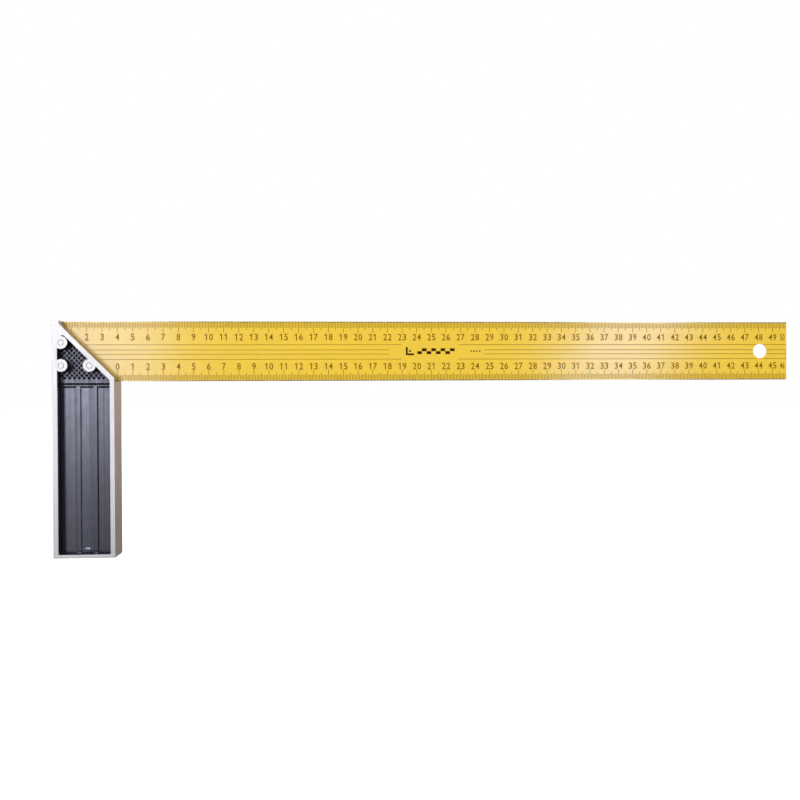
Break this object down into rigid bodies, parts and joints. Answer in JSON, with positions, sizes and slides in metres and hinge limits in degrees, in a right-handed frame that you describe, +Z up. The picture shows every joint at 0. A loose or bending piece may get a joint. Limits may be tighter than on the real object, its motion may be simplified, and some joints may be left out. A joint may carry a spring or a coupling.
{
  "type": "try square",
  "caption": "Try square: a recessed metal stock with a mitred shoulder, and a long flat blade with printed scales and a hanging hole.",
  "frame": {"origin": "centre of the stock's inner working face, in the blade's mid-plane; the zero of the lower scale is at x = 0", "axes": "+X out along the blade, +Z up the stock towards the blade, +Y from the front face to the back face"},
  "size_m": [0.5, 0.0186, 0.156],
  "materials": {
    "cast_stock": "ground rims, dark satin paint in the recesses",
    "blade_lacquer": "satin yellow lacquer with black printed scales",
    "rivet_metal": "ground flush with the bosses"
  },
  "bodies": {
    "root": {"stock": "cast_stock", "blade": "blade_lacquer", "rivet_top": "rivet_metal", "rivet_outer": "rivet_metal", "rivet_inner": "rivet_metal"}
  },
  "joints": []
}
